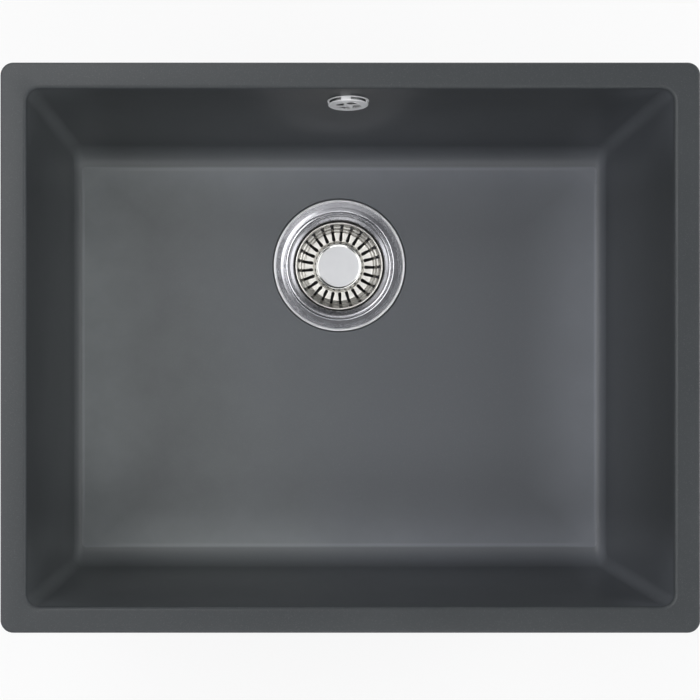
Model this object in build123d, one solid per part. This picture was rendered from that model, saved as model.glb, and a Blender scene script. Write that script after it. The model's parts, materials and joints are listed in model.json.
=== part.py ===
from build123d import *
import os
from math import cos, hypot, radians, sin, tan

# Inset kitchen sink: a drafted stone composite bowl with a flat rim, a basket strainer waste
# and a wall overflow. Millimetres. The origin is on the worktop's surface, at the centre of
# the cut-out: +X to the right, +Y to the back wall, +Z up.

# Rim, whose land reaches from its outer edge to the wall of the bowl
rim_width = 540.0
rim_breadth = 440.0
rim_land = 20.0
rim_height = 8.0
rim_corner = 10.0
rim_edge_round = 1.8

# Bowl, measured inside, from the top of the rim
bowl_depth = 200.0
wall = 9.0
floor_thick = 9.0
wall_draft = 5.5
lip_round = 3.0
side_round = 10.0
front_round = 21.0

# Clearance in radius between a bar and the hole that it fits
snug = 0.05

# Sealing strip in its groove under the rim
strip_inset = 3.5
strip_margin = 1.5
strip_thick = 1.5

# Drain hole, its recess in the floor and its boss below
drain_from_back = 140.0
drain_hole = 90.0
recess_depth = 3.5
boss_wall = 21.0
boss_height = 5.0

# Strainer cup: flange, shoulder, well, seat and slotted web
flange_dia = 115.0
flange_gap = 1.0
cup_sheet = 1.0
bead = 1.05
cup_seal_thick = 1.6
cup_seal_share = 0.45
# Flange's crease as a share of its width, and its shoulder: out from the hole's edge, and down
crease_share = 0.4
crease_drop = 0.3
shoulder_steps = [(1.6, 1.0), (1.1, 1.6), (-1.3, 1.9)]
cup_bends = [12.0, 0.8, 0.5, 1.5, 4.0, 5.0, 2.5, 3.0]
shoulder_drop = 9.5
well_inset = 5.7
well_depth = 24.0
seat_width = 12.3
seat_drop = 7.0
sump_depth = 10.0
web_slots = 8
web_slot_width = 6.0

# Centre screw with its nut
screw_dia = 12.0
screw_head_dia = 18.0
screw_head_height = 6.0
screw_length = 22.0
screw_slot = 2.4
screw_slot_deep = 1.5
screw_bore = 7.2
screw_bore_depth = 17.0
nut_flats = 18.0
nut_height = 6.0

# Waste body under the bowl
gasket_thick = 3.0
body_flange_width = 9.0
body_flange_thick = 5.0
body_wall = 4.0
body_inset = 2.0
body_depth = 38.0
outlet_dia = 47.8
outlet_wall = 3.4
outlet_length = 27.0
outlet_cone = 14.0
cone_lift = 2.0
hub_dia = 27.0
hub_length = 18.0
spider_ribs = 3
spider_rib = 4.0

# Basket, its slots and its button
basket_sheet = 0.8
basket_gap = 0.9
basket_roll = 0.8
basket_rim_drop = 5.0
basket_depth = 10.0
basket_wall_run = 8.8
basket_floor_width = 8.3
basket_ribs = 2
basket_rib_round = 0.65
slot_count = 25
slot_width = 2.2
slot_inner_gap = 1.2
slot_outer_gap = 2.0
button_height = 4.6
button_sheet = 1.0
button_rim = 4.5
button_dish = 0.9
button_seat_drop = 0.7

# Plug under the basket
stem_dia = 5.0
stem_neck_dia = 3.8
spacer_dia = 14.0
seal_plate_inset = 5.0
plate_thick = 1.0
seal_thick = 3.5
seal_lip = 3.0
seal_lip_thick = 0.8
seal_gap = 0.3
seal_washer_inset = 8.0
stem_nut_flats = 8.0
stem_nut_height = 3.0
journal_dia = 3.84
bush_bore = 4.0
bush_dia = 7.04
bush_length = 10.0
bush_slit = 0.8
stem_head_dia = 4.9
stem_head_height = 1.4

# Overflow on the back wall
overflow_drop = 38.0
rose_dia = 33.0
rose_height = 4.0
rose_rim = 2.4
rose_dish = 1.6
rose_face_thick = 1.2
rose_holes = 4
petal_out = 7.2
petal_round = 2.6
petal_tip = (2.6, 1.0)
petal_start = 20.0
crescent_inset = 2.2
crescent_width = 1.4
crescent_length = 9.0
crescent_start = 62.0
sleeve_wall = 2.0
sleeve_flange_inset = 3.5
sleeve_flange_reach = 1.5
sleeve_flange_thick = 1.0
sleeve_length = 19.0
overflow_hole_gap = 0.5
overflow_gasket_width = 5.5
overflow_gasket_thick = 2.5
head_depth = 15.5
head_back = 3.0
pipe_dia = 18.0
pipe_wall = 1.8
pipe_gap = 0.3
pipe_bend = 25.0
pipe_engage = 20.0
socket_gap = 0.2
socket_wall = 1.6
socket_length = 40.0
ring_seal_wall = 1.0
ring_seal_width = 2.4
port_drop = 38.0
port_wall = 2.8
port_length = 23.0
port_stop = 6.0
cone_seal_thick = 3.0
pipe_nut_wall = 4.0
pipe_nut_length = 14.0
pipe_nut_lip = 2.7
thread_gap = 0.2
nut_grips = 10

# Fixing clips, their screws and pads, and the worktops that they grip
worktop_most = 42.0
worktop_least = 28.0
clip_spacing = 300.0
clip_thick = 2.5
clip_breadth = 20.0
clip_gap = 0.3
clip_bend = 2.5
pocket_drop = 11.0
pocket_height = 4.0
pocket_back = 4.0
clip_screw_dia = 5.0
clip_screw_head_dia = 8.0
clip_screw_head_height = 3.5
clip_screw_slot = 1.4
pad_dia = 9.0
pad_height = 4.0
pad_wall = 1.6
pad_gap = 0.53
travel_margin = 1.0

# Levels and places that follow from those sizes
bowl_width = rim_width - 2 * rim_land
bowl_breadth = rim_breadth - 2 * rim_land
rim_reach = rim_land - wall
strip_width = rim_reach - strip_inset - strip_margin
slope = tan(radians(wall_draft))
lean = radians(wall_draft)
floor_top = rim_height - bowl_depth
boss_under = floor_top - floor_thick - boss_height
drain_y = rim_breadth / 2 - drain_from_back
drain_at = Pos(0, drain_y, floor_top)

flange_r = flange_dia / 2
hole_r = drain_hole / 2
well_r = hole_r - well_inset
sump_r = well_r - seat_width
seat_low = -well_depth - seat_drop
web_top = seat_low - sump_depth
web_under = web_top - cup_sheet
flange_top = -recess_depth + cup_seal_thick + 0.4 + cup_sheet
gasket_top = boss_under - floor_top
body_top = gasket_top - gasket_thick
hub_top = web_under
hub_under = hub_top - hub_length
outlet_top = body_top - body_depth - outlet_cone
outlet_end = outlet_top - outlet_length
body_bore_r = hole_r - body_inset
body_r = body_bore_r + body_wall

basket_rim_r = well_r - basket_gap
basket_floor_r = basket_rim_r - basket_wall_run
button_r = basket_floor_r - basket_floor_width
basket_floor_top = -basket_rim_drop - basket_depth
button_seat = basket_floor_top - button_seat_drop
basket_under = button_seat - basket_sheet
seal_bottom_r = sump_r + 2.0
seat_run = (well_r - sump_r) / seat_drop
seal_under = -well_depth - (well_r - seal_bottom_r) / seat_run + seal_gap * hypot(1, 1 / seat_run)
seal_top = seal_under + seal_thick
plate_top = seal_top + plate_thick
washer_under = seal_under - plate_thick
stem_nut_under = washer_under - stem_nut_height
screw_head_top = web_top + screw_head_height
bush_top = screw_head_top - 1.0
bush_under = bush_top - bush_length

rose_r = rose_dia / 2
sleeve_flange_r = rose_r - sleeve_flange_inset
sleeve_r = sleeve_flange_r - sleeve_flange_reach
overflow_gasket_r = sleeve_r + overflow_gasket_width
overflow_z = rim_height - overflow_drop
overflow_y = bowl_breadth / 2 - overflow_drop * slope
wall_through = wall * cos(lean)
overflow_plane = Plane(
    origin=(0, overflow_y, overflow_z),
    x_dir=(1, 0, 0),
    z_dir=(0, -cos(lean), sin(lean)),
)
pipe_r = pipe_dia / 2
pipe_back = -wall_through - pipe_r - socket_gap - socket_wall - pipe_gap
port_z = floor_top - port_drop
port_end = drain_y + body_r + port_length


def turned(section):
    """A section drawn in X (radius) and Y (height), turned about the vertical axis."""
    return revolve(Plane.XZ * section, Axis.Z)


def tube(outer_r, inner_r, low, high):
    """A plain ring between two heights on the vertical axis."""
    return Pos(0, 0, low) * extrude(Circle(outer_r) - Circle(inner_r), high - low)


def rod(radius, low, high):
    """A plain round bar between two heights on the vertical axis."""
    return Pos(0, 0, low) * extrude(Circle(radius), high - low)


def pressed_section(points, radii, thickness):
    """Section of a sheet whose upper side follows the points, with a bend at each inner one."""
    line = FilletPolyline(*points, radius=radii)
    return make_face(offset(line, amount=thickness, side=Side.LEFT, closed=True))


def around(shape, count, start=0.0):
    """Copies of a shape, evenly turned about the vertical axis."""
    return [Rot(0, 0, start + 360.0 * i / count) * shape for i in range(count)]


def drafted_tub(width, breadth, depth, long_round, short_round):
    """A block that narrows downwards, rounded along its floor and up its corners."""
    block = extrude(Pos(0, 0, rim_height) * Rectangle(width, breadth), -depth, taper=wall_draft)
    floor_face = block.faces().sort_by(Axis.Z)[0]
    block = fillet(floor_face.edges().filter_by(Axis.X), long_round)
    ends = block.faces().sort_by(Axis.X)
    chain = [
        edge
        for face in (ends[0], ends[-1])
        for edge in face.edges()
        if edge.center().Z < rim_height - 0.01
    ]
    return fillet(chain, short_round)


def sink_bowl():
    outside = drafted_tub(
        bowl_width + 2 * wall,
        bowl_breadth + 2 * wall,
        bowl_depth + floor_thick,
        front_round + wall,
        side_round + wall,
    )
    inside = drafted_tub(bowl_width, bowl_breadth, bowl_depth, front_round, side_round)
    rim = extrude(RectangleRounded(rim_width, rim_breadth, rim_corner), rim_height)
    bowl = rim + outside - inside
    top_face = bowl.faces().filter_by(Axis.Z).sort_by(Axis.Z)[-1]
    bowl = fillet(top_face.inner_wires()[0].edges(), lip_round)
    top_face = bowl.faces().filter_by(Axis.Z).sort_by(Axis.Z)[-1]
    bowl = fillet(top_face.outer_wire().edges(), rim_edge_round)
    bowl -= strip_ring(strip_thick)
    boss = rod(hole_r + boss_wall, gasket_top, -floor_thick / 2)
    boss = fillet(boss.edges().sort_by(Axis.Z)[0], 2.0)
    recess = rod(flange_r + flange_gap, -recess_depth, 1.0)
    hole = rod(hole_r, gasket_top - 1, 1.0)
    bowl = bowl + drain_at * boss - drain_at * recess - drain_at * hole
    bowl -= overflow_plane * rod(sleeve_r + overflow_hole_gap, -2 * wall, wall)
    for place in clip_places():
        bowl -= place * clip_pocket()
    return bowl


def strip_ring(thickness):
    """The sealing strip, which fills its groove up to the face that rests on the worktop."""
    outer = RectangleRounded(
        rim_width - 2 * strip_inset, rim_breadth - 2 * strip_inset, rim_corner - strip_inset
    )
    inset = strip_inset + strip_width
    inner = RectangleRounded(rim_width - 2 * inset, rim_breadth - 2 * inset, 1.0)
    return extrude(outer - inner, thickness)


def strainer_cup():
    """Pressed flange, shoulder, well, seat and slotted web in one sheet."""
    crease_r = hole_r + crease_share * (flange_r - hole_r)
    points = [(flange_r - bead, flange_top), (crease_r, flange_top - crease_drop)]
    points += [(hole_r + out, flange_top - down) for out, down in shoulder_steps]
    points += [
        (well_r, -shoulder_drop),
        (well_r, -well_depth),
        (sump_r, seat_low),
        (sump_r, web_top),
        (screw_dia / 2 + 0.3, web_top),
    ]
    section = pressed_section(points, cup_bends, cup_sheet)
    section += Pos(flange_r - bead, flange_top - cup_sheet / 2) * Circle(bead)
    cup = turned(section)
    slot_in = screw_head_dia / 2 + 1.5
    slot_out = sump_r - 4.0
    slot = Pos((slot_in + slot_out) / 2, 0, web_top) * extrude(
        SlotOverall(slot_out - slot_in, web_slot_width), 3 * cup_sheet, both=True
    )
    for cutter in around(slot, web_slots):
        cup -= cutter
    return cup


def basket():
    """Pressed basket: rolled rim, ribbed wall, slots and the seat of the button."""
    roll_r = basket_rim_r - basket_roll
    roll_z = -basket_rim_drop - basket_roll
    wall_high = Vector(roll_r - 1.0, roll_z - 0.8)
    wall_low = Vector(basket_floor_r, basket_floor_top)
    points = [
        (roll_r, roll_z - 0.2),
        (wall_high.X, wall_high.Y),
        (wall_low.X, wall_low.Y),
        (button_r + 1.1, basket_floor_top),
        (button_r + 0.4, button_seat),
        (stem_neck_dia / 2 + snug, button_seat),
    ]
    section = pressed_section(points, [0.5, 3.0, 0.3, 0.3], basket_sheet)
    section += Pos(roll_r, roll_z) * Circle(basket_roll)
    down = (wall_low - wall_high).normalized()
    middle = Vector(-down.Y, down.X) * (basket_sheet / 2)
    for i in range(basket_ribs):
        at = wall_high + (wall_low - wall_high) * ((i + 1) / (basket_ribs + 1)) + middle
        section += Pos(at.X, at.Y) * Circle(basket_rib_round)
    shell = turned(section)
    inner = button_r + slot_inner_gap + slot_width / 2
    outer = basket_rim_r - slot_outer_gap
    outline = Pos((inner + outer) / 2, 0) * Rectangle(outer - inner, slot_width)
    outline += Pos(inner, 0) * Circle(slot_width / 2)
    slot = Pos(0, 0, basket_floor_top - 3) * extrude(outline, basket_depth + 6)
    return shell - around(slot, slot_count)


def basket_button():
    """Pressed cap with a rounded rim and a shallow dished disc, on a boss for the stem."""
    outer_r = button_r
    disc_r = button_r - button_rim
    top = button_seat + button_height
    points = [
        (outer_r, button_seat),
        (outer_r, button_seat + button_height * 0.45),
        (outer_r - 1.5, top - 0.6),
        (disc_r + 1.6, top),
        (disc_r + 0.5, top - 0.1),
        (disc_r, top - button_dish),
        (0, top - button_dish),
    ]
    line = FilletPolyline(*points, radius=[0.6, 0.8, 0.6, 0.3, 0.3])
    shell = make_face(offset(line, amount=button_sheet, side=Side.LEFT, closed=True))
    boss = Pos(spacer_dia / 4, (button_seat + top - button_dish) / 2 - 0.2) * Rectangle(
        spacer_dia / 2, top - button_dish - button_seat - 0.4
    )
    hole_high = button_height - button_dish - button_sheet
    stem_hole = Rectangle(stem_neck_dia / 2, hole_high, align=Align.MIN)
    return turned(shell + boss - Pos(0, button_seat) * stem_hole)


def basket_stem():
    """Stem with a neck into the button, a journal for the bush and a head that keeps it on."""
    top = button_seat + button_height - button_dish - button_sheet
    stem = rod(stem_neck_dia / 2, basket_under, top)
    stem += rod(stem_dia / 2, bush_top, basket_under)
    stem += rod(journal_dia / 2, bush_under - 0.2, bush_top)
    head = rod(stem_head_dia / 2, bush_under - 0.2 - stem_head_height, bush_under - 0.2)
    return stem + chamfer(head.edges().sort_by(Axis.Z)[0], 0.6)


def stem_bush():
    bush = tube(bush_dia / 2, bush_bore / 2, bush_under, bush_top)
    bush = chamfer(bush.edges().group_by(Axis.Z)[0].sort_by(SortBy.LENGTH)[-1], 0.5)
    slit = Pos(bush_dia / 2, 0, (bush_top + bush_under) / 2) * Box(
        bush_dia, bush_slit, bush_length + 1
    )
    return bush - slit


def seal_spacer():
    return tube(spacer_dia / 2, stem_dia / 2 + snug, plate_top, basket_under)


def seal_plate():
    return tube(sump_r - seal_plate_inset, stem_dia / 2 + snug, seal_top, plate_top)


def basket_seal():
    """Rubber plug whose rim lies along the seat of the cup."""
    lip_r = seal_bottom_r + seal_lip
    lip_under = seal_under + (lip_r - seal_bottom_r) / seat_run
    outline = Polyline(
        (stem_dia / 2 + snug, seal_under),
        (seal_bottom_r, seal_under),
        (lip_r, lip_under),
        (lip_r, lip_under + seal_lip_thick),
        (lip_r - 1.5, seal_top),
        (stem_dia / 2 + snug, seal_top),
        close=True,
    )
    return turned(make_face(outline))


def seal_washer():
    return tube(sump_r - seal_washer_inset, stem_dia / 2 + snug, washer_under, seal_under)


def stem_nut():
    flats = RegularPolygon(stem_nut_flats / 2, 6, major_radius=False)
    hole = Circle(stem_dia / 2 + snug)
    return Pos(0, 0, stem_nut_under) * extrude(flats - hole, stem_nut_height)


def centre_screw():
    """Hollow screw with a slotted head, which the stem's bush plugs into."""
    screw = rod(screw_head_dia / 2, web_top, screw_head_top)
    screw = chamfer(screw.edges().sort_by(Axis.Z)[-1], 0.8)
    screw += rod(screw_dia / 2, web_top - screw_length, web_top)
    screw -= rod(screw_bore / 2, screw_head_top - screw_bore_depth, screw_head_top + 1)
    slot = Pos(0, 0, screw_head_top) * Box(screw_head_dia + 2, screw_slot, 2 * screw_slot_deep)
    return screw - slot


def centre_nut():
    flats = RegularPolygon(nut_flats / 2, 6, major_radius=False)
    hole = Circle(screw_dia / 2 + snug)
    return Pos(0, 0, hub_under) * extrude(flats - hole, nut_height)


def cup_seal():
    outer = flange_r - 2 * bead + 0.2
    inner = hole_r + cup_seal_share * (flange_r - hole_r)
    return tube(outer, inner, -recess_depth, -recess_depth + cup_seal_thick)


def body_gasket():
    return tube(body_r + body_flange_width, hole_r + 0.5, body_top, gasket_top)


def strainer_body():
    """Moulded body: flange, well, spider with its hub, overflow port and threaded outlet."""
    well_low = body_top - body_depth
    outlet_r = outlet_dia / 2
    outside = Polyline(
        (0, body_top),
        (body_r + body_flange_width, body_top),
        (body_r + body_flange_width, body_top - body_flange_thick),
        (body_r, body_top - body_flange_thick),
        (body_r, well_low),
        (outlet_r, outlet_top),
        (outlet_r, outlet_end),
        (0, outlet_end),
        close=True,
    )
    bore_r = outlet_r - outlet_wall
    inside = Polyline(
        (0, body_top + 1),
        (body_bore_r, body_top + 1),
        (body_bore_r, well_low + cone_lift),
        (bore_r, outlet_top + cone_lift),
        (bore_r, outlet_end - 1),
        (0, outlet_end - 1),
        close=True,
    )
    full = turned(make_face(outside))
    port_at = Pos(0, 0, -port_drop) * Rot(-90, 0, 0)
    port_r = pipe_r + socket_gap + port_wall
    full_port = port_at * rod(port_r, 0, body_r + port_length)
    body = full + full_port - turned(make_face(inside))
    rib = Box(body_r, spider_rib, hub_length * 0.7, align=(Align.MIN, Align.CENTER, Align.MIN))
    ribs = [full & (Pos(0, 0, hub_under) * r) for r in around(rib, spider_ribs, 30.0)]
    for r in ribs:
        body += r
    body += rod(hub_dia / 2, hub_under, hub_top)
    body -= rod(screw_dia / 2 + 0.4, hub_under - 1, hub_top + 1)
    pocket = RegularPolygon(nut_flats / 2 + 0.05, 6, major_radius=False)
    body -= Pos(0, 0, hub_under - 1) * extrude(pocket, nut_height + 1)
    start = body_r - body_wall - 2
    body -= port_at * rod(pipe_r - pipe_wall, start, body_r + port_length + 1)
    body -= port_at * rod(pipe_r + socket_gap, body_r + port_stop, body_r + port_length + 1)
    return body


def overflow_rose():
    """Bright cover: rounded rim round a dished face with pinwheel openings."""
    outer_r = rose_r
    face_r = outer_r - rose_rim
    face_top = rose_height - rose_dish
    outline = [
        (outer_r, 0),
        (outer_r, rose_height * 0.5),
        (outer_r - rose_rim * 0.5, rose_height),
        (face_r, rose_height - 0.3),
        (face_r - 0.6, face_top),
        (0, face_top + 0.4),
        (0, face_top - rose_face_thick + 0.4),
        (sleeve_flange_r + 0.1, face_top - rose_face_thick),
        (sleeve_flange_r + 0.1, 0),
    ]
    rose = turned(make_face(Polyline(*outline, close=True)))
    rose = fillet(rose.edges().filter_by(GeomType.CIRCLE).group_by(Axis.Z)[-1], 0.5)
    for cutter in around(rose_petal(), rose_holes, petal_start):
        rose -= cutter
    for cutter in around(rose_crescent(), rose_holes, crescent_start):
        rose -= cutter
    return overflow_plane * rose


def rose_petal():
    """A teardrop opening, round at its outer end and drawn out towards the centre."""
    round_end = Pos(petal_out, 0) * Circle(petal_round)
    sides = Polyline((petal_out, -petal_round), petal_tip, (petal_out, petal_round), close=True)
    return extrude(round_end + make_face(sides), rose_height * 2, both=True)


def rose_crescent():
    """A short curved opening near the rim of the rosette."""
    crescent_r = rose_r - rose_rim - crescent_inset
    band = Circle(crescent_r + crescent_width / 2) - Circle(crescent_r - crescent_width / 2)
    part = band & (Pos(crescent_r, 0) * Rectangle(4 * crescent_width, crescent_length))
    return extrude(part, rose_height * 2, both=True)


def overflow_sleeve():
    sleeve = tube(sleeve_r, sleeve_r - sleeve_wall, -sleeve_length, 0)
    sleeve += tube(sleeve_flange_r, sleeve_r - sleeve_wall, 0, sleeve_flange_thick)
    return overflow_plane * sleeve


def overflow_gasket():
    low = -wall_through - overflow_gasket_thick
    ring = tube(overflow_gasket_r, sleeve_r + 0.3, low, -wall_through)
    return overflow_plane * ring


def overflow_elbow():
    """Flat round head screwed to the sleeve, with a socket that points down the wall."""
    front = -wall_through - overflow_gasket_thick
    head = rod(overflow_gasket_r, front - head_depth, front)
    head = fillet(head.edges().sort_by(Axis.Z)[0], 4.0)
    socket_bore = pipe_r + socket_gap
    down = Pos(0, 0, pipe_back) * Rot(90, 0, 0)
    socket = rod(socket_bore + socket_wall, 0, socket_length)
    socket = fillet(socket.edges().sort_by(Axis.Z)[0], 5.0)
    head += down * socket
    head -= rod(sleeve_r + 0.1, front - head_depth + head_back, front + 1)
    head -= down * rod(pipe_r - pipe_wall, sleeve_r / 2, socket_length)
    head -= rod(overflow_gasket_r + 0.5, front, 0)
    engage_from = socket_length - pipe_engage
    head -= down * rod(socket_bore, engage_from, socket_length + 1)
    groove_from = socket_length - 2 * ring_seal_width
    head -= down * rod(socket_bore + ring_seal_wall, groove_from, groove_from + ring_seal_width)
    return overflow_plane * head


def upper_pipe_seal():
    down = Pos(0, 0, pipe_back) * Rot(90, 0, 0)
    groove_from = socket_length - 2 * ring_seal_width
    outer = pipe_r + socket_gap + ring_seal_wall
    ring = tube(outer, pipe_r, groove_from, groove_from + ring_seal_width)
    return overflow_plane * down * ring


def overflow_pipe():
    """Rigid pipe down the back of the bowl and forwards into the waste body."""
    top = overflow_plane.from_local_coords(
        Vector(0, -(socket_length - pipe_engage) - 0.5, pipe_back)
    )
    corner = Vector(0, top.Y - (top.Z - port_z) * slope, port_z)
    end = Vector(0, drain_y + body_r + port_stop + 0.5, port_z)
    path = FilletPolyline(top, corner, end, radius=pipe_bend)
    start = Plane(origin=top, x_dir=(1, 0, 0), z_dir=corner - top)
    return sweep(start * (Circle(pipe_r) - Circle(pipe_r - pipe_wall)), path)


def lower_pipe_seal():
    ring = tube(pipe_r + socket_gap + port_wall - 0.2, pipe_r, 0, cone_seal_thick)
    return Pos(0, port_end, port_z) * Rot(-90, 0, 0) * ring


def lower_pipe_nut():
    """Coupling nut with finger grips, over the port's thread and behind the cone seal."""
    bore_r = pipe_r + socket_gap + port_wall + thread_gap
    outer_r = bore_r + pipe_nut_wall
    high = cone_seal_thick + thread_gap + pipe_nut_lip
    low = high - pipe_nut_length
    nut = tube(outer_r, bore_r, low, cone_seal_thick + thread_gap)
    nut += tube(outer_r, pipe_r + socket_gap, cone_seal_thick + thread_gap, high)
    grip = Pos(outer_r + 0.6, 0, low + 3.5) * extrude(Circle(1.8), pipe_nut_length)
    nut -= around(grip, nut_grips)
    return Pos(0, port_end, port_z) * Rot(-90, 0, 0) * nut


def clip_places():
    """Where each clip stands: its frame has +X outwards from the wall, at the wall's top edge."""
    half_x = bowl_width / 2 + wall
    half_y = bowl_breadth / 2 + wall
    off = clip_spacing / 2
    return [
        Pos(half_x, 0, 0),
        Pos(off, half_y, 0) * Rot(0, 0, 90),
        Pos(-off, half_y, 0) * Rot(0, 0, 90),
        Pos(-half_x, 0, 0) * Rot(0, 0, 180),
        Pos(-off, -half_y, 0) * Rot(0, 0, -90),
        Pos(off, -half_y, 0) * Rot(0, 0, -90),
    ]


clip_names = ["right", "back_right", "back_left", "left", "front_left", "front_right"]
pocket_top = -pocket_drop
pocket_depth = wall - pocket_back
tongue_top = pocket_top - clip_gap
wall_face = -(rim_height + pocket_drop) * slope
leg_in = wall_face + clip_gap
leg_out = leg_in + clip_thick
pad_out = leg_out + pad_gap + pad_dia / 2
clip_travel = worktop_most - worktop_least
pad_top = -worktop_most
foot_top = pad_top - pad_height - travel_margin
foot_under = foot_top - clip_thick
screw_head_top_z = foot_under - clip_travel - travel_margin


def clip_pocket():
    """Undercut in the wall that the clip's tongue hooks into."""
    low = pocket_top - pocket_height
    box = Box(pocket_depth + wall, clip_breadth + 2, pocket_height)
    return Pos(wall_face - pocket_depth + (pocket_depth + wall) / 2, 0, (pocket_top + low) / 2) * box


def fixing_clip():
    """Bent strip: tongue in the pocket, leg down the wall, foot that carries the screw."""
    tongue_in = wall_face - pocket_depth + clip_gap
    foot_out = pad_out + pad_dia / 2
    points = [
        (tongue_in, tongue_top),
        (leg_out, tongue_top),
        (leg_out, foot_top),
        (foot_out, foot_top),
    ]
    line = FilletPolyline(*points, radius=[clip_bend + clip_thick, clip_bend])
    section = make_face(offset(line, amount=clip_thick, side=Side.RIGHT, closed=True))
    strip = extrude(Plane.XZ * section, clip_breadth / 2, both=True)
    return strip - Pos(pad_out, 0) * rod(clip_screw_dia / 2 + snug, foot_under - 1, foot_top + 1)


def clip_screw():
    low = screw_head_top_z
    shank = rod(clip_screw_dia / 2, low, pad_top - pad_wall)
    head = rod(clip_screw_head_dia / 2, low - clip_screw_head_height, low)
    head = fillet(head.edges().sort_by(Axis.Z)[0], 1.0)
    drive = Pos(0, 0, low - clip_screw_head_height) * Box(clip_screw_head_dia + 2, clip_screw_slot, 2.4)
    return Pos(pad_out, 0, 0) * (shank + head - drive)


def clip_pad():
    pad = rod(pad_dia / 2, pad_top - pad_height, pad_top)
    pad = fillet(pad.edges().sort_by(Axis.Z)[-1], 0.8)
    pad -= rod(clip_screw_dia / 2 + snug, pad_top - pad_height - 1, pad_top - pad_wall)
    return Pos(pad_out, 0, 0) * pad


def build():
    pieces = {
        "sink_bowl": sink_bowl(),
        "rim_seal": strip_ring(strip_thick),
        "strainer_cup": drain_at * strainer_cup(),
        "cup_seal": drain_at * cup_seal(),
        "body_gasket": drain_at * body_gasket(),
        "strainer_body": drain_at * strainer_body(),
        "centre_screw": drain_at * centre_screw(),
        "centre_nut": drain_at * centre_nut(),
        "basket": drain_at * basket(),
        "basket_button": drain_at * basket_button(),
        "basket_stem": drain_at * basket_stem(),
        "seal_spacer": drain_at * seal_spacer(),
        "seal_plate": drain_at * seal_plate(),
        "basket_seal": drain_at * basket_seal(),
        "seal_washer": drain_at * seal_washer(),
        "stem_nut": drain_at * stem_nut(),
        "stem_bush": drain_at * stem_bush(),
        "overflow_rose": overflow_rose(),
        "overflow_sleeve": overflow_sleeve(),
        "overflow_gasket": overflow_gasket(),
        "overflow_elbow": overflow_elbow(),
        "upper_pipe_seal": upper_pipe_seal(),
        "overflow_pipe": overflow_pipe(),
        "lower_pipe_seal": lower_pipe_seal(),
        "lower_pipe_nut": lower_pipe_nut(),
    }
    places = clip_places()
    pieces["fixing_clips"] = Compound(children=[place * fixing_clip() for place in places])
    for name, place in zip(clip_names, places):
        pieces[f"clip_screw_{name}"] = place * clip_screw()
        pieces[f"clip_pad_{name}"] = place * clip_pad()
    return pieces


os.makedirs("parts", exist_ok=True)
for node, shape in build().items():
    export_step(shape, f"parts/{node}.step")
    print(node, round(shape.volume))
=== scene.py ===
import json
import math

import bmesh
import bpy
from mathutils import Matrix, Vector


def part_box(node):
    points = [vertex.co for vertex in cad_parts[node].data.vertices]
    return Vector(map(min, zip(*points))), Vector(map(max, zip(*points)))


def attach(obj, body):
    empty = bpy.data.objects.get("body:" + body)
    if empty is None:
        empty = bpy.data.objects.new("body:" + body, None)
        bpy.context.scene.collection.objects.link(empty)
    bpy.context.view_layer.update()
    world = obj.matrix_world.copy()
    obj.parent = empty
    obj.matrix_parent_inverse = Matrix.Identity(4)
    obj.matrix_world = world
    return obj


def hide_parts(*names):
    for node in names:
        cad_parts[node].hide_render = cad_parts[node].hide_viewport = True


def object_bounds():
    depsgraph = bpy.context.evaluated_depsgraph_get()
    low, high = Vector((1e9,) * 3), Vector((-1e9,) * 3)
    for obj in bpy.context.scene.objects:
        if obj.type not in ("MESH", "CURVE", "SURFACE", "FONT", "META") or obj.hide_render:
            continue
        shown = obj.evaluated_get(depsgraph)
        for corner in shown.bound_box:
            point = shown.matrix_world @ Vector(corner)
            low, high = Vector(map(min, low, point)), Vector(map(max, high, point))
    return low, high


# Looks of an inset kitchen sink: a dark stone composite bowl with a basket strainer waste and a
# wall overflow, seen from straight above. Metres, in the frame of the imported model: the origin
# is on the worktop's surface at the centre of the cut-out, +Y to the back wall, +Z up.

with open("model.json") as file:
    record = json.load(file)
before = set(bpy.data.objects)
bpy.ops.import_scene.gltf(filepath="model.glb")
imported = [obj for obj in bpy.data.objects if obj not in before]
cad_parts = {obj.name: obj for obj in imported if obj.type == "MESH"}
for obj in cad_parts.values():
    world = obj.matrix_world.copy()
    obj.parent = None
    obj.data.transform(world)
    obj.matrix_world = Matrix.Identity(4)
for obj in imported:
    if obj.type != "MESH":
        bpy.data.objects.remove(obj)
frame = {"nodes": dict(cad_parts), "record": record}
cad_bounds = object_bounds()
MM = 0.001

# Inside of the bowl: its opening at the rim, and walls that lean inwards down to the floor
rim_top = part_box("sink_bowl")[1].z
bowl_depth = 200 * MM
half_width = 250 * MM
half_breadth = 200 * MM
wall_draft = math.radians(5.5)
draft_slope = math.tan(wall_draft)
floor_top = rim_top - bowl_depth

# Centre of the waste, at the height of the floor
cup_low, cup_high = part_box("strainer_cup")
drain = Vector(((cup_low.x + cup_high.x) / 2, (cup_low.y + cup_high.y) / 2, floor_top))

# Slots of the strainer basket: how many, their inner radius in millimetres, and the first's turn
slot_count = 25
slot_inner = 24.0
slot_start = math.radians(-1.0)

# Where the overflow's cover lies on the back wall
overflow_drop = 38 * MM
overflow_centre = (0, half_breadth - overflow_drop * draft_slope, rim_top - overflow_drop)
overflow_turn = Matrix.Rotation(math.pi / 2 - wall_draft, 4, "X")
overflow_place = Matrix.Translation(overflow_centre) @ overflow_turn

# Camera of the photograph: 1.5 m above the rim, looking straight down
camera_place = Vector((-73.1 * MM, -61.5 * MM, rim_top + 1.5))
camera_lens = 100.1
camera_shift_x = 0.1348
camera_shift_y = 0.1106


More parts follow.
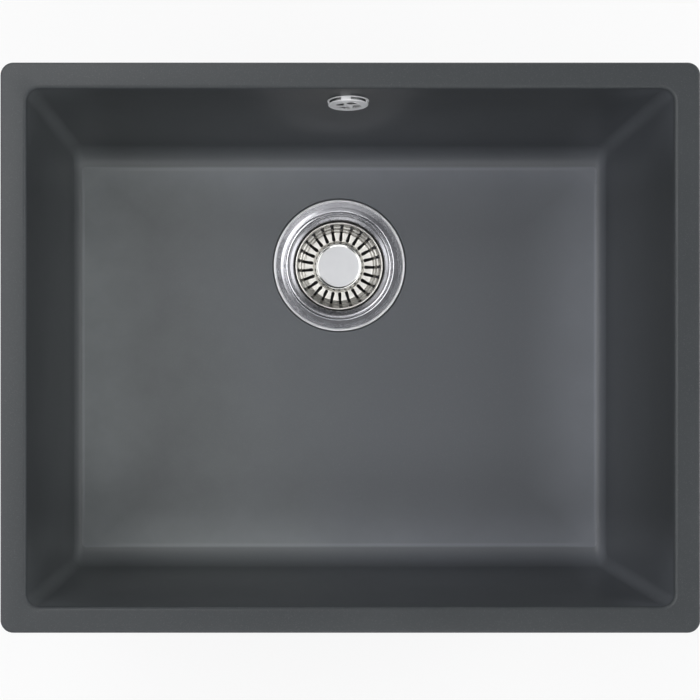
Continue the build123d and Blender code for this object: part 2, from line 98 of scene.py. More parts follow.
class Value:
    """An output socket of a material; the operators on it add Math nodes."""

    def __init__(self, finish, socket):
        self.finish = finish
        self.socket = socket

    def math(self, operation, *others):
        sources = dict(enumerate((self, *others)))
        return self.finish.node("ShaderNodeMath", {"operation": operation}, sources)[0]

    def __add__(self, other):
        return self.math("ADD", other)

    __radd__ = __add__

    def __sub__(self, other):
        return self.math("SUBTRACT", other)

    def __rsub__(self, other):
        return (self * -1.0) + other

    def __mul__(self, other):
        return self.math("MULTIPLY", other)

    __rmul__ = __mul__

    def step(self, low, high):
        """0 below low and 1 above high, with a smooth rise between them."""
        inputs = {"Value": self, "From Min": low, "From Max": high}
        settings = {"interpolation_type": "SMOOTHSTEP"}
        return self.finish.node("ShaderNodeMapRange", settings, inputs)[0]


class Finish:
    """One material. node() adds every node, and set() feeds what changes over the surface."""

    def __init__(self, name, **fixed):
        self.material = bpy.data.materials.new(name)
        self.material.use_nodes = True
        self.tree = self.material.node_tree
        self.shader = self.tree.nodes["Principled BSDF"]
        self.set(**fixed)

    def node(self, kind, settings, inputs):
        """Adds a node, its settings first, and gives its outputs by name or number."""
        made = self.tree.nodes.new(kind)
        for key, value in settings.items():
            setattr(made, key, value)
        for key, value in inputs.items():
            self.feed(made.inputs[key], value)
        outputs = {}
        for number, out in enumerate(made.outputs):
            outputs[number] = outputs[out.name] = Value(self, out)
        return outputs

    def feed(self, socket, value):
        if isinstance(value, Value):
            self.tree.links.new(value.socket, socket)
        elif socket.type == "RGBA" and len(value) == 3:
            socket.default_value = (*value, 1.0)
        else:
            socket.default_value = value

    def set(self, **inputs):
        for key, value in inputs.items():
            self.feed(self.shader.inputs[key.replace("_", " ")], value)

    def place(self, centre=(0, 0, 0)):
        """Object coordinates, measured from a centre."""
        where = self.node("ShaderNodeTexCoord", {}, {})["Object"]
        inputs = {"Vector": where, "Location": tuple(-c for c in centre)}
        return self.node("ShaderNodeMapping", {}, inputs)[0]

    def axes(self, where):
        parts = self.node("ShaderNodeSeparateXYZ", {}, {0: where})
        return parts[0], parts[1], parts[2]

    def around_drain(self):
        """Distance from the axis of the waste, and height above the floor."""
        x, y, z = self.axes(self.place(drain))
        return (x * x + y * y).math("SQRT"), z

    def noise(self, where, scale, detail=3.0, roughness=0.5):
        inputs = {"Vector": where, "Scale": scale, "Detail": detail, "Roughness": roughness}
        return self.node("ShaderNodeTexNoise", {}, inputs)[0]

    def mixed(self, share, low, high):
        """A colour between two, by the share."""
        return self.node("ShaderNodeMix", {"data_type": "RGBA"}, {0: share, 6: low, 7: high})[2]

    def bump(self, height, distance, strength):
        inputs = {"Height": height, "Distance": distance, "Strength": strength}
        return self.node("ShaderNodeBump", {}, inputs)[0]


class Surroundings(Finish):
    """The world's nodes, added in the same way as a material's."""

    def __init__(self, world):
        world.use_nodes = True
        self.tree = world.node_tree
        self.shader = self.tree.nodes["Background"]


def bowl_parts(x, y, z):
    """Masks of the bowl: its inside, above its floor, its walls' stretches, corners and edges."""
    across, along = x.math("ABSOLUTE"), y.math("ABSOLUTE")
    lean = (rim_top - z) * draft_slope
    past_side = (across + lean).step(half_width + 2 * MM, half_width + 6 * MM)
    past_end = (along + lean).step(half_breadth + 2 * MM, half_breadth + 6 * MM)
    above_drain = z.step(floor_top - 7 * MM, floor_top - 5 * MM)
    upper_start = z.step(floor_top + 100 * MM, rim_top - 14 * MM)
    edge_across, edge_along = across.step(150 * MM, 235 * MM), along.step(105 * MM, 180 * MM)
    return {
        "inside": (1.0 - past_side) * (1.0 - past_end) * above_drain,
        "above_floor": z.step(floor_top + 0.1 * MM, floor_top + 0.7 * MM),
        "below_lip": 1.0 - z.step(rim_top - 6 * MM, rim_top - 1 * MM),
        "down_wall": 1.0 - z.step(floor_top - 40 * MM, rim_top),
        "in_fillet": 1.0 - z.step(floor_top, floor_top + 14 * MM),
        "upper_wall": upper_start * (1.0 - z.step(rim_top - 4 * MM, rim_top - 1 * MM)),
        "near_edge": edge_across.math("MAXIMUM", edge_along),
        "corner": across.step(185 * MM, 235 * MM) * along.step(125 * MM, 180 * MM),
    }


def stone_composite():
    """Dark quartz composite: fine grains, a cloudy surface, haze where water has dried, and painted
    light, shade and a highlight on the floor and walls.
    """
    finish = Finish("stone_composite", IOR=1.5)
    where = finish.place()
    x, y, z = finish.axes(where)
    grain = finish.noise(where, 1500.0, 2.0, 0.7)
    crystals = finish.node("ShaderNodeTexVoronoi", {}, {"Vector": where, "Scale": 2300.0})
    fleck = finish.axes(crystals["Color"])[0].step(0.90, 0.98)
    cloud = finish.noise(where, 9.0, 4.0, 0.55)
    patch = finish.noise(where, 22.0, 3.0, 0.6)
    bowl = bowl_parts(x, y, z)
    inside, above_floor, near_edge = bowl["inside"], bowl["above_floor"], bowl["near_edge"]
    to_left = 1.0 - (x + y * 0.2 + (cloud - 0.5) * 0.2).step(-160 * MM, 60 * MM)

    # Haze where water has dried, in patches on the floor's left, mixed with painted light and a
    # painted highlight
    # Painted light on the floor: lighter along its edges, along the back, in its corners and along
    # the front
    floor_haze_and_light = 0.34 + 0.24 * to_left * (patch - 0.5) + 0.40 * near_edge * (0.7 + 0.6 * patch)
    floor_haze_and_light = floor_haze_and_light + 0.20 * y.step(140 * MM, 180 * MM) + 0.40 * bowl["corner"]
    floor_haze_and_light = floor_haze_and_light + 0.10 * (1.0 - y.step(-180 * MM, -130 * MM))
    # The floor is a little lighter towards the right and lighter towards the left
    floor_haze_and_light = floor_haze_and_light + 0.05 * x.step(20 * MM, 150 * MM)
    floor_haze_and_light = floor_haze_and_light + (0.03 + 0.12 * near_edge) * to_left
    # Painted light on the walls: lighter towards the floor, in the corners and on the fillet
    painted_wall_light = 0.28 * bowl["down_wall"] + 0.22 * bowl["corner"] + 0.17 * bowl["in_fillet"]
    # A painted highlight in a thin line at the foot of the walls
    off_floor = z.step(floor_top + 0.02 * MM, floor_top + 0.1 * MM)
    painted_foot_highlight = off_floor * (1.0 - above_floor)
    haze_and_painted_light = (1.0 - above_floor) * floor_haze_and_light + above_floor * bowl["below_lip"] * painted_wall_light
    haze_and_painted_light = inside * (haze_and_painted_light + 0.17 * painted_foot_highlight)

    # The stone under it, with painted shade on the upper walls below the lip, but not on the front
    # wall
    painted_lip_shade = inside * bowl["upper_wall"] * y.step(-195 * MM, -150 * MM)
    shade = (0.92 + (grain - 0.5) * 0.24 + (cloud - 0.5) * 0.16) * (1.0 - 0.26 * painted_lip_shade)
    plain = finish.mixed(shade, (0.0, 0.0, 0.0), (0.042, 0.047, 0.051))
    speckled = finish.mixed(fleck * 0.22, plain, (0.16, 0.165, 0.17))
    # Colour of the haze and painted light, greener towards the left
    tint = finish.mixed(to_left, (0.236, 0.250, 0.280), (0.244, 0.262, 0.268))

    # Smoother where the casting shows than on its outside
    shown = inside.math("MAXIMUM", z.step(rim_top - 7 * MM, rim_top - 4 * MM))
    finish.set(
        Base_Color=finish.mixed(haze_and_painted_light, speckled, tint),
        Roughness=0.58 - 0.18 * shown + (cloud - 0.5) * 0.12 + (grain - 0.5) * 0.1 + haze_and_painted_light * 0.06,
        Normal=finish.bump((grain + fleck * 0.5) * (3.0 - 2.0 * shown), 0.03 * MM, 0.4),
    )
    return finish.material


def steel(name, colour, roughness, spread=0.12, groove=0.03):
    """Sheet steel with a fine grain; groove is the depth of its scratches in millimetres."""
    finish = Finish(name, Metallic=1.0)
    where = finish.place()
    fine = finish.noise(where, 900.0, 4.0, 0.65)
    broad = finish.noise(where, 90.0, 3.0, 0.5)
    lighter = tuple(min(1.0, c * 1.08) for c in colour)
    darker = tuple(c * 0.90 for c in colour)
    finish.set(
        Base_Color=finish.mixed(broad, darker, lighter),
        Roughness=roughness + (fine - 0.5) * spread + (broad - 0.5) * spread,
        Normal=finish.bump(fine, groove * MM, 0.5),
    )
    return finish.material


def spun_steel():
    """Flange steel: fine rings from spinning, crossed by the scratches of use."""
    finish = Finish("spun_steel")
    radius, z = finish.around_drain()
    ring_place = finish.node("ShaderNodeCombineXYZ", {}, {0: radius})[0]
    rings = finish.noise(ring_place, 4200.0, 3.0, 0.7)
    where = finish.place()
    scratches = finish.noise(where, 700.0, 6.0, 0.85)
    smears = finish.noise(where, 45.0, 4.0, 0.6)
    marks = (scratches - 0.5) * 0.24 + (smears - 0.5) * 0.14

    # The bead at the outer edge, the cone into the well, and the low seat that water has dulled
    bead = radius.step(55.0 * MM, 55.5 * MM)
    cone = 1.0 - radius.step(43.4 * MM, 43.9 * MM)
    open_part = radius.step(24.0 * MM, 25.5 * MM) * (1.0 - radius.step(34.0 * MM, 35.0 * MM))
    dulled = (1.0 - z.step(-24 * MM, -20 * MM)) * open_part

    worn = (smears * 0.4 + scratches * 0.6).step(0.30, 0.70)
    colour = finish.mixed(worn, (0.40, 0.40, 0.43), (0.64, 0.64, 0.67))
    colour = finish.mixed(dulled, colour, (0.56, 0.53, 0.47))
    # The bead is painted paler and less metallic: a painted highlight along the rolled edge
    finish.set(
        Base_Color=finish.mixed(bead, colour, (0.86, 0.86, 0.88)),
        Metallic=1.0 - dulled * 0.75 - bead * 0.4,
        Roughness=0.16 + marks * 0.8 + bead * 0.2 + cone * 0.12 + dulled * 0.25,
        Normal=finish.bump(rings * 0.7 + scratches, 0.012 * MM, 0.25),
    )
    return finish.material


def button_steel():
    """Button steel: a pale satin disc inside a polished rim whose colour is painted darker, painted
    shade on the rim.
    """
    finish = Finish("button_steel", Metallic=1.0)
    radius = finish.around_drain()[0]
    disc = 1.0 - radius.step(17.4 * MM, 18.3 * MM)
    where = finish.place()
    fine = finish.noise(where, 1100.0, 4.0, 0.7)
    smears = finish.noise(where, 70.0, 3.0, 0.5)
    satin = finish.mixed(smears, (0.76, 0.765, 0.78), (0.83, 0.835, 0.85))
    # The rim's darker colour is painted shade
    finish.set(
        Base_Color=finish.mixed(disc, (0.50, 0.50, 0.485), satin),
        Roughness=0.13 + disc * 0.50 + (fine - 0.5) * 0.08,
        Normal=finish.bump(fine, 0.012 * MM, 0.4),
    )
    return finish.material


def satin_chrome():
    """Overflow cover: satin chrome on a moulded cap, dulled by water."""
    finish = Finish("satin_chrome")
    where = finish.place()
    fine = finish.noise(where, 1300.0, 4.0, 0.7)
    spots = finish.noise(where, 260.0, 4.0, 0.65)
    finish.set(
        Base_Color=finish.mixed(spots, (0.82, 0.82, 0.83), (0.92, 0.92, 0.93)),
        Metallic=0.25 + (spots - 0.5) * 0.3,
        Roughness=0.34 + (fine - 0.5) * 0.16 + (spots - 0.5) * 0.2,
        Normal=finish.bump(fine, 0.015 * MM, 0.5),
    )
    return finish.material


def moulded(name, colour):
    """Moulded plastic with a faint grain from the tool."""
    finish = Finish(name, IOR=1.49)
    where = finish.place()
    fine = finish.noise(where, 1600.0, 2.0, 0.6)
    broad = finish.noise(where, 40.0, 3.0, 0.5)
    darker = tuple(c * 0.92 for c in colour)
    finish.set(
        Base_Color=finish.mixed(broad, darker, colour),
        Roughness=0.42 + (fine - 0.5) * 0.2,
        Normal=finish.bump(fine, 0.02 * MM, 0.5),
    )
    return finish.material


def soft_rubber(name, colour, roughness):
    """Rubber or foam with a pale bloom in patches."""
    finish = Finish(name, IOR=1.5)
    where = finish.place()
    fine = finish.noise(where, 1100.0, 3.0, 0.7)
    bloom = finish.noise(where, 130.0, 3.0, 0.6)
    paler = tuple(c * 1.7 + 0.01 for c in colour)
    finish.set(
        Base_Color=finish.mixed(bloom * 0.6, colour, paler),
        Roughness=roughness + (fine - 0.5) * 0.2,
        Normal=finish.bump(fine, 0.04 * MM, 0.6),
    )
    return finish.material


# One finish for each material slot of the record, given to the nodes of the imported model
finishes = {
    "composite": stone_composite(),
    "flange_steel": spun_steel(),
    "basket_steel": steel("satin_steel", (0.86, 0.84, 0.795), 0.31),
    "polished_steel": steel("bright_steel", (0.80, 0.80, 0.80), 0.16, 0.06, 0.008),
    "plain_steel": steel("zinc_steel", (0.56, 0.57, 0.58), 0.38),
    "brass": steel("turned_brass", (0.71, 0.53, 0.24), 0.30),
    "black_rubber": soft_rubber("sealing_rubber", (0.022, 0.022, 0.022), 0.75),
    "foam": soft_rubber("sealing_foam", (0.05, 0.05, 0.05), 0.9),
    "white_plastic": moulded("moulded_polypropylene", (0.74, 0.74, 0.71)),
    "grey_plastic": moulded("moulded_nylon", (0.30, 0.31, 0.32)),
}
node_slots = {part["node"]: part["material_slot"] for part in frame["record"]["subparts"]}
for name, node in frame["nodes"].items():
    node.data.materials.clear()
    node.data.materials.append(finishes[node_slots[name]])
    for face in node.data.polygons:
        face.use_smooth = True
    weld = node.modifiers.new("weld", "WELD")
    weld.merge_threshold = 0.002 * MM
    split = node.modifiers.new("sharp_edges", "EDGE_SPLIT")
    split.split_angle = math.radians(30)


def deselect():
    bpy.ops.object.select_all(action="DESELECT")


def activate(piece):
    deselect()
    bpy.context.view_layer.objects.active = piece
    piece.select_set(True)


def edit(piece):
    """Opens a piece in edit mode with nothing selected."""
    activate(piece)
    bpy.ops.object.mode_set(mode="EDIT")
    bpy.ops.mesh.select_all(action="DESELECT")


def done():
    bpy.ops.object.mode_set(mode="OBJECT")


def select_all():
    bpy.ops.mesh.select_all(action="SELECT")


def pick(test):
    """Selects the points of the open piece whose place, in millimetres, passes the test."""
    bpy.ops.mesh.select_mode(type="VERT")
    bpy.ops.mesh.select_all(action="DESELECT")
    mesh = bpy.context.object.data
    points = bmesh.from_edit_mesh(mesh)
    for point in points.verts:
        point.select = test(point.co / MM)
    points.select_flush(True)
    bmesh.update_edit_mesh(mesh)


def pick_edges(test):
    """Selects the edges of the open piece that pass the test."""
    bpy.ops.mesh.select_mode(type="EDGE")
    bpy.ops.mesh.select_all(action="DESELECT")
    mesh = bpy.context.object.data
    for edge in bmesh.from_edit_mesh(mesh).edges:
        edge.select = test(edge)
    bmesh.update_edit_mesh(mesh)


def pick_ring(radius, height):
    """Selects one ring of a turned piece, in millimetres."""
    pick(lambda p: abs(math.hypot(p.x, p.y) - radius) < 0.01 and abs(p.z - height) < 0.01)


def merge_doubles():
    bpy.ops.mesh.remove_doubles(threshold=0.004 * MM)


def outwards():
    """Turns the faces of the open piece outwards."""
    select_all()
    bpy.ops.mesh.normals_make_consistent(inside=False)


def close_up():
    """Merges the doubles of the open piece and turns its faces outwards."""
    select_all()
    merge_doubles()
    bpy.ops.mesh.normals_make_consistent(inside=False)


def raise_up(height):
    """Extrudes the whole of the open piece upwards, in millimetres."""
    select_all()
    rise = (0, 0, height * MM)
    bpy.ops.mesh.extrude_region_move(TRANSFORM_OT_translate={"value": rise})


def modify(piece, kind, **settings):
    """Adds a modifier and applies it."""
    modifier = piece.modifiers.new(kind.lower(), kind)
    for key, value in settings.items():
        setattr(modifier, key, value)
    activate(piece)
    bpy.ops.object.modifier_apply(modifier=modifier.name)


def new_piece(name):
    """Names the primitive just added and puts its origin at the frame's."""
    bpy.ops.object.transform_apply(location=True, rotation=True, scale=True)
    piece = bpy.context.object
    piece.name = name
    return piece


def turn(name, outline, points, bends):
    """Turns an outline of (radius, height) about the vertical axis, in millimetres.

    Each ring is extruded from the one before and scaled, and bends gives the bend radius of
    the rings that are rounded. An outline that ends where it starts makes a closed piece.
    """
    deselect()
    radius, height = outline[0]
    place = (0, 0, height * MM)
    bpy.ops.mesh.primitive_circle_add(vertices=points, radius=radius * MM, location=place)
    piece = new_piece(name)
    edit(piece)
    select_all()
    for next_radius, next_height in outline[1:]:
        rise = (0, 0, (next_height - height) * MM)
        bpy.ops.mesh.extrude_edges_move(TRANSFORM_OT_translate={"value": rise})
        share = next_radius / radius
        middle = (0, 0, next_height * MM)
        bpy.ops.transform.resize(value=(share, share, 1), center_override=middle)
        radius, height = next_radius, next_height
    close_up()
    for index, bend in bends.items():
        round_ring(outline, index, bend)
    done()
    return piece


def round_ring(outline, index, bend):
    """Bevels one ring of a turned piece to a bend radius."""
    before, here, after = (Vector(outline[i % len(outline)]) for i in (index - 1, index, index + 1))
    corner = (here - before).angle(after - here)
    steps = max(2, min(8, round(math.degrees(corner) / 10)))
    pick_ring(*here)
    width = bend * math.tan(corner / 2) * MM
    bpy.ops.mesh.bevel(offset=width, offset_type="OFFSET", segments=steps, affect="EDGES")


def under_sheet(outline, thickness):
    """The other side of a sheet whose upper side runs inwards along the outline."""
    points = [Vector(p) for p in outline]
    runs = [(b - a).normalized() for a, b in zip(points, points[1:])]
    sides = [Vector((-run.y, run.x)) for run in runs]
    under = [points[0] + sides[0] * thickness]
    for point, one, two in zip(points[1:], sides, sides[1:]):
        under.append(point + (one + two) * (thickness / (1 + one.dot(two))))
    return under + [points[-1] + sides[-1] * thickness]


def pressed(name, outline, bends, sheet, points, edge):
    """A closed turned sheet: its upper side, its underside, and the points of a rolled edge."""
    under = under_sheet(outline, sheet)
    section = list(outline) + [tuple(p) for p in reversed(under)] + list(edge)
    last = 2 * len(outline) - 1
    least_bend = 0.05
    rounds = {}
    for index, bend in bends.items():
        before, here, after = (Vector(outline[index + i]) for i in (-1, 0, 1))
        left = (here - before).cross(after - here) > 0
        rounds[index] = bend
        below = bend - sheet if left else bend + sheet
        if below > least_bend:
            rounds[last - index] = below
    return turn(name, section + [section[0]], points, rounds)


def arc(centre, radius, start, end, steps):
    """Points of (radius, height) along an arc, from one angle to another in degrees."""
    angles = [math.radians(start + (end - start) * i / steps) for i in range(steps + 1)]
    return [(centre[0] + radius * math.cos(a), centre[1] + radius * math.sin(a)) for a in angles]


def move(piece, offset):
    """Moves a finished piece's mesh to its place in the frame, in metres."""
    edit(piece)
    select_all()
    bpy.ops.transform.translate(value=offset)
    done()


def cut_around(piece, cutter, count, start=0.0):
    """Cuts evenly turned copies of a cutter out of a piece."""
    edit(cutter)
    close_up()
    done()
    for i in range(count):
        copy = cutter.copy()
        copy.data = cutter.data.copy()
        bpy.context.collection.objects.link(copy)
        copy.data.transform(Matrix.Rotation(math.radians(start + 360 * i / count), 4, "Z"))
        modify(piece, "BOOLEAN", object=copy, operation="DIFFERENCE", solver="EXACT")
        bpy.data.objects.remove(copy)
    bpy.data.objects.remove(cutter)


def dress(piece, slot, body, replaces=None, smooth=32, look=None):
    """Finish chosen by the slot, smooth shading and body of a finished piece; look is a finish of
    its own, used in place of the slot's.
    """
    activate(piece)
    bpy.ops.object.shade_smooth_by_angle(angle=math.radians(smooth))
    piece.data.materials.clear()
    piece.data.materials.append(look or finishes[slot])
    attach(piece, body)
    if replaces:
        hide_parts(replaces)


def upright(edge):
    """Whether an edge of a cutter stands up."""
    one, two = edge.verts
    return abs(one.co.z - two.co.z) > 1 * MM


def strainer_flange():
    """Pressed flange with its rolled bead, shoulder, well, seat and slotted web."""
    sheet = 1.0
    web = -41.0
    outline = [
        (55.41, -0.90),
        (54.4, -0.86),
        (51.0, -0.72),
        (47.2, -0.20),
        (46.3, -1.10),
        (45.4, -0.90),
        (43.9, -1.10),
        (43.2, -2.05),
        (39.8, -3.42),
        (39.3, -24.0),
        (27.0, -31.0),
        (27.0, web),
        (6.3, web),
    ]
    bends = {
        1: 4.0, 2: 7.0, 3: 1.4, 4: 0.25, 5: 0.7, 6: 0.7,
        7: 1.2, 8: 1.3, 9: 2.5, 10: 3.0, 11: 2.5,
    }
    bead = arc((56.45, -1.0), 1.05, -120, 172, 18)
    piece = pressed("strainer_flange", outline, bends, sheet, 240, bead)
    slot_width, slot_length, slot_middle = 6.0, 12.5, 16.75
    deselect()
    bpy.ops.mesh.primitive_cube_add(
        size=1.0,
        scale=(slot_length * MM, slot_width * MM, 6 * sheet * MM),
        location=(slot_middle * MM, 0, (web - sheet / 2) * MM),
    )
    slot = new_piece("web_slot")
    edit(slot)
    pick_edges(upright)
    end_round = slot_width / 2 - 0.05
    bpy.ops.mesh.bevel(offset=end_round * MM, segments=8, affect="EDGES")
    done()
    cut_around(piece, slot, 8)
    move(piece, drain)
    dress(piece, "flange_steel", "sink", "strainer_cup")


def softened(points, radius, steps=4):
    """The points of a line of (radius, height), with each inner corner made a curve."""
    line = [Vector(points[0])]
    for before, here, after in zip(points, points[1:], points[2:]):
        before, here, after = Vector(before), Vector(here), Vector(after)
        back, on = (before - here).normalized(), (after - here).normalized()
        reach = min(radius, 0.45 * (before - here).length, 0.45 * (after - here).length)
        one, two = here + back * reach, here + on * reach
        for step in range(steps + 1):
            share = step / steps
            corner = here * (2 * share * (1 - share))
            line.append(one * (1 - share) ** 2 + corner + two * share**2)
    return line + [Vector(points[-1])]


def basket_rows():
    """Rows across one slot's share of the basket: radius, height and half the slot's width.

    They run from the stem's hole over the floor, which steps up around the button, and up the
    wall with its two ledges. The slot is open where its width isn't 0.
    """
    floor = -15.0
    rows = [(1.95, -15.7, 0), (12.0, -15.7, 0), (21.5, -15.7, 0), (21.8, -15.62, 0)]
    rows += [(22.05, -15.3, 0), (22.25, -15.06, 0)]
    end_round = 1.5
    for degrees in (90, 67.5, 45, 22.5, 0):
        a = math.radians(degrees)
        rows.append((slot_inner - end_round * math.sin(a), floor, end_round * math.cos(a)))
    rows += [(24.9, floor, 1.46), (26.2, floor, 1.38), (27.6, floor, 1.29), (28.6, floor, 1.22)]
    wall = [
        (28.6, floor),
        (30.0, floor),
        (30.9, -12.65),
        (32.4, -12.05),
        (33.3, -9.95),
        (34.9, -9.3),
        (35.75, -7.3),
        (36.4, -6.8),
    ]
    for at in softened(wall, 0.5)[1:]:
        rows.append((at.x, at.y, 1.75 if at.x > 35.25 else 1.16))
    return rows


def basket_underside(upper):
    """The underside of those rows: it follows the floor, and is a plain cone under the wall."""
    floor_edge, cone_start, sheet = 28.7, 30.3, 0.8
    low, high = Vector((30.2, -14.0)), Vector((36.35, -6.9))
    run = (high - low).normalized()
    out = Vector((run.y, -run.x)) * 1.1
    under = []
    for radius, height, width in upper:
        along = (Vector((radius, height)) - low).dot(run)
        at = low + run * along + out
        if radius < floor_edge:
            at = Vector((radius, height - sheet))
        elif at.y < -15.8:
            at = Vector((max(radius, min(at.x, cone_start)), height - sheet))
        under.append((at.x, at.y, width))
    return under


def slot_share(rows, strips):
    """One slot's share of the basket as a grid, with its three middle strips over the slot."""
    deselect()
    bpy.ops.mesh.primitive_grid_add(x_subdivisions=strips, y_subdivisions=len(rows) - 1, size=2)
    piece = new_piece("strainer_basket")
    for point in piece.data.vertices:
        column = round((point.co.x + 1) / 2 * strips)
        radius, height, width = rows[round((point.co.y + 1) / 2 * (len(rows) - 1))]
        edge_angle = math.asin(width / radius)
        side = column - strips / 2
        if abs(side) < 2:
            angle = edge_angle * side / 1.5
        else:
            out = (abs(side) - 1.5) / (strips / 2 - 1.5)
            angle = math.copysign(edge_angle + (math.pi / slot_count - edge_angle) * out, side)
        turned = slot_start + angle
        point.co = Vector((radius * math.cos(turned), radius * math.sin(turned), height)) * MM
    return piece


def strainer_basket():
    """Basket: one slot's share shaped from a grid, then turned into all of them."""
    upper = basket_rows()
    roll = [(radius, height, 1.1) for radius, height in arc((37.6, -5.8), 0.8, 215, -70, 12)]
    rows = upper + roll + basket_underside(upper)[::-1] + [upper[0]]
    first = next(i for i, row in enumerate(upper) if row[2] > 0) - 1
    last = len(upper) - 1
    mirrored = len(rows) - 2
    strips = 13
    middle = (strips // 2 - 1, strips // 2 + 1)
    piece = slot_share(rows, strips)

    # The slot is opened through both sides of the sheet, and its edges are joined
    edit(piece)
    bpy.ops.mesh.select_mode(type="FACE")
    mesh = bmesh.from_edit_mesh(piece.data)
    mesh.faces.ensure_lookup_table()
    for face in mesh.faces:
        row, column = divmod(face.index, strips)
        in_slot = first <= row < last or mirrored - last <= row < mirrored - first
        face.select = middle[0] <= column <= middle[1] and in_slot
    bmesh.update_edit_mesh(piece.data)
    bpy.ops.mesh.delete(type="FACE")
    select_all()
    merge_doubles()

    def around_slot(edge):
        turns = [math.atan2(end.co.y, end.co.x) - slot_start for end in edge.verts]
        on_seam = all(abs(abs(t) - math.pi / slot_count) < 0.001 for t in turns)
        return edge.is_boundary and not on_seam

    pick_edges(around_slot)
    bpy.ops.mesh.bridge_edge_loops()
    select_all()
    turned = {"steps": slot_count, "angle": 2 * math.pi, "center": (0, 0, 0), "axis": (0, 0, 1)}
    bpy.ops.mesh.spin(dupli=True, **turned)
    close_up()
    done()
    modify(piece, "BEVEL", width=0.12 * MM, segments=2, angle_limit=math.radians(50))
    move(piece, drain)
    dress(piece, "basket_steel", "strainer", "basket", 40)


def button():
    """Pressed cap with a rounded rim around a flat sunk disc, on a boss for the stem."""
    stem_radius, boss_top = 1.95, -13.0
    outline = [
        (stem_radius, boss_top),
        (stem_radius, -15.7),
        (7.0, -15.7),
        (7.0, boss_top),
        (16.9, boss_top),
        (18.2, -12.45),
        (19.2, -12.15),
        (19.7, -12.4),
        (20.3, -13.2),
        (20.3, -15.65),
        (21.3, -15.65),
        (21.3, -12.7),
        (20.9, -12.05),
        (20.2, -11.35),
        (19.6, -11.1),
        (18.9, -11.28),
        (17.8, -11.75),
        (10.0, -11.75),
        (0.0, -11.75),
    ]
    bends = {10: 0.2, 11: 0.3, 12: 0.3, 13: 0.5, 14: 0.8, 15: 1.0, 16: 2.0}
    piece = turn("strainer_button", outline, 192, bends)
    edit(piece)
    pick_ring(stem_radius, boss_top)
    bpy.ops.mesh.edge_face_add()
    outwards()
    done()
    move(piece, drain)
    dress(piece, "polished_steel", "strainer", "basket_button", look=button_steel())


def comma():
    """Cutter of one curved opening in the face of the overflow cover."""
    radius, middle, taper, sweep = 3.4, 7.1, 0.6, 2.4
    deselect()
    bpy.ops.mesh.primitive_circle_add(vertices=32, radius=radius * MM, fill_type="NGON")
    piece = new_piece("comma")
    for point in piece.data.vertices:
        x, y = point.co.x / MM, point.co.y / MM
        tail = max(0.0, -y / radius)
        bent = middle + x * (1 - taper * tail) - sweep * tail**2
        point.co = Vector((bent, y - radius * tail, -1)) * MM
    edit(piece)
    raise_up(8)
    done()
    return piece


def side_opening():
    """Cutter of one opening in the side of the overflow cover."""
    half_turn = math.radians(31)
    wall_middle, half_thickness = 15.3, 1.8
    low, high = 0.6, 2.75
    deselect()
    bpy.ops.mesh.primitive_grid_add(x_subdivisions=1, y_subdivisions=24, size=2)
    piece = new_piece("side_opening")
    for point in piece.data.vertices:
        around = point.co.y * half_turn
        out = wall_middle + point.co.x * half_thickness
        point.co = Vector((out * math.cos(around), out * math.sin(around), low)) * MM
    edit(piece)
    raise_up(high - low)
    done()
    return piece


def rosette():
    """Overflow cover: a cap with openings in its side, and a face with four comma openings."""
    centre, face_top, face_under = 0.9, 3.95, 3.35
    outline = [
        (14.9, 0.0),
        (16.5, 0.0),
        (16.5, 0.35),
        (16.0, 0.55),
        (15.95, 2.9),
        (15.5, 3.7),
        (14.3, 3.95),
        (13.2, 3.55),
        (12.4, 3.55),
        (11.4, 3.8),
        (6.0, 3.9),
        (centre, face_top),
        (centre, face_under),
        (6.0, 3.3),
        (13.6, 2.95),
        (14.9, 2.5),
        (14.9, 0.0),
    ]
    bends = {2: 0.15, 3: 0.15, 4: 0.8, 5: 0.8, 6: 0.8, 7: 0.4, 8: 0.4, 9: 0.8}
    piece = turn("overflow_rosette", outline, 128, bends)
    edit(piece)
    for height in (face_top, face_under):
        pick_ring(centre, height)
        bpy.ops.mesh.edge_face_add()
    outwards()
    done()
    cut_around(piece, comma(), 4, 76)
    cut_around(piece, side_opening(), 4, 54)
    piece.data.transform(overflow_place)
    dress(piece, "polished_steel", "sink", "overflow_rose", look=satin_chrome())


def outlet_thread():
    """Thread on the outlet, for the nut of the trap."""
    root, crest, pitch, turns, lowest = 23.6, 24.6, 3.0, 6, -94.0
    deselect()
    bpy.ops.mesh.primitive_circle_add(vertices=4, radius=1 * MM)
    piece = new_piece("outlet_thread")
    profile = [(root, -1.2), (crest, -0.35), (crest, 0.35), (root, 1.2)]
    for point, (radius, height) in zip(piece.data.vertices, profile):
        point.co = Vector((radius, 0, height)) * MM
    settings = {"angle": 2 * math.pi, "screw_offset": pitch * MM, "iterations": turns}
    modify(piece, "SCREW", steps=96, render_steps=96, use_normal_calculate=True, **settings)
    edit(piece)
    select_all()
    bpy.ops.mesh.fill_holes(sides=8)
    close_up()
    done()
    move(piece, drain + Vector((0, 0, lowest * MM)))
    dress(piece, "white_plastic", "sink")


strainer_flange()
strainer_basket()
button()
rosette()
outlet_thread()


def lamp(name, place, aim, size, power):
    """A soft square lamp that points at a spot."""
    light = bpy.data.lights.new(name, "AREA")
    light.shape = "RECTANGLE"
    light.size, light.size_y = size
    light.energy = power
    holder = bpy.data.objects.new(name, light)
    holder.location = place
    holder.rotation_euler = (Vector(aim) - Vector(place)).to_track_quat("-Z", "Y").to_euler()
    holder.visible_camera = False
    bpy.context.collection.objects.link(holder)


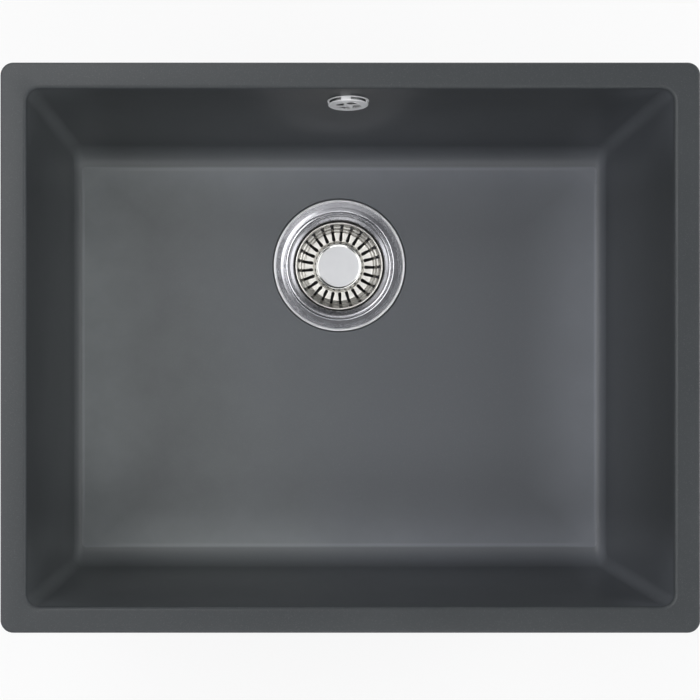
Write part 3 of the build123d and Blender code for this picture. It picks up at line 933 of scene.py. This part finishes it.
lamp("softbox_left", (-1.0, 0.42, 1.9), (-0.1, 0.05, -0.1), (2.4, 1.2), 25.0)
lamp("softbox_right", (1.55, 0.10, 1.45), (0.1, 0.0, -0.1), (1.8, 0.9), 12.0)
lamp("softbox_above", (0.10, 0.27, 2.1), (0.05, 0.1, -0.2), (0.22, 0.22), 0.8)
lamp("softbox_front", (0.10, -1.0, 1.65), (0.0, 0.1, -0.1), (1.2, 0.5), 7.0)
lamp("softbox_back", (-0.20, 0.88, 2.0), (-0.1, 0.1, -0.2), (1.0, 0.76), 1.4)

# Weak lamps level with the bowl's outside, one on each side
outside_places = {"left": (-1.5, 0), "right": (1.5, 0), "front": (0, -1.5), "back": (0, 1.5)}
for side, (x, y) in outside_places.items():
    lamp("fill_" + side, (x, y, -0.1), (0, 0, -0.14), (1.0, 0.5), 5.0)


def studio_world():
    """Dim above and pale near the horizon, and plain white where the camera sees it."""
    bpy.context.scene.world = bpy.data.worlds.new("studio")
    around = Surroundings(bpy.context.scene.world)
    direction = around.node("ShaderNodeTexCoord", {}, {})["Generated"]
    overhead = around.axes(direction)[2].step(0.30, 0.62)
    seen = around.node("ShaderNodeLightPath", {}, {})["Is Camera Ray"]
    level = 0.80 - 0.56 * overhead
    around.set(
        Color=around.mixed(seen, (0.80, 0.82, 0.85), (1.0, 1.0, 1.0)),
        Strength=seen + (1.0 - seen) * level,
    )


def pale_floor():
    """A pale floor that reads as white to the camera and in reflections, and keeps shadows."""
    finish = Finish("pale_floor", Base_Color=(0.85, 0.85, 0.85))
    finish.set(Roughness=0.75 + finish.noise(finish.place(), 8.0) * 0.1)
    path = finish.node("ShaderNodeLightPath", {}, {})
    seen = path["Is Camera Ray"] + path["Is Glossy Ray"] + path["Is Transmission Ray"]
    white = finish.node("ShaderNodeEmission", {}, {"Color": (1.0, 1.0, 1.0), "Strength": 1.0})
    shaders = {0: seen * 0.85, 1: Value(finish, finish.shader.outputs[0]), 2: white[0]}
    mix = finish.node("ShaderNodeMixShader", {}, shaders)[0]
    output = finish.tree.nodes["Material Output"]
    finish.tree.links.new(mix.socket, output.inputs["Surface"])
    return finish.material


studio_world()
deselect()
bpy.ops.mesh.primitive_plane_add(size=12.0, location=(0, 0, cad_bounds[0].z - 0.5 * MM))
floor = bpy.context.object
floor.name = "studio_floor"
floor.data.materials.append(pale_floor())

camera_data = bpy.data.cameras.new("camera")
camera_data.lens = camera_lens
camera_data.shift_x = camera_shift_x
camera_data.shift_y = camera_shift_y
camera = bpy.data.objects.new("camera", camera_data)
camera.location = camera_place
bpy.context.collection.objects.link(camera)
bpy.context.scene.camera = camera
bpy.context.scene.view_settings.view_transform = "Standard"
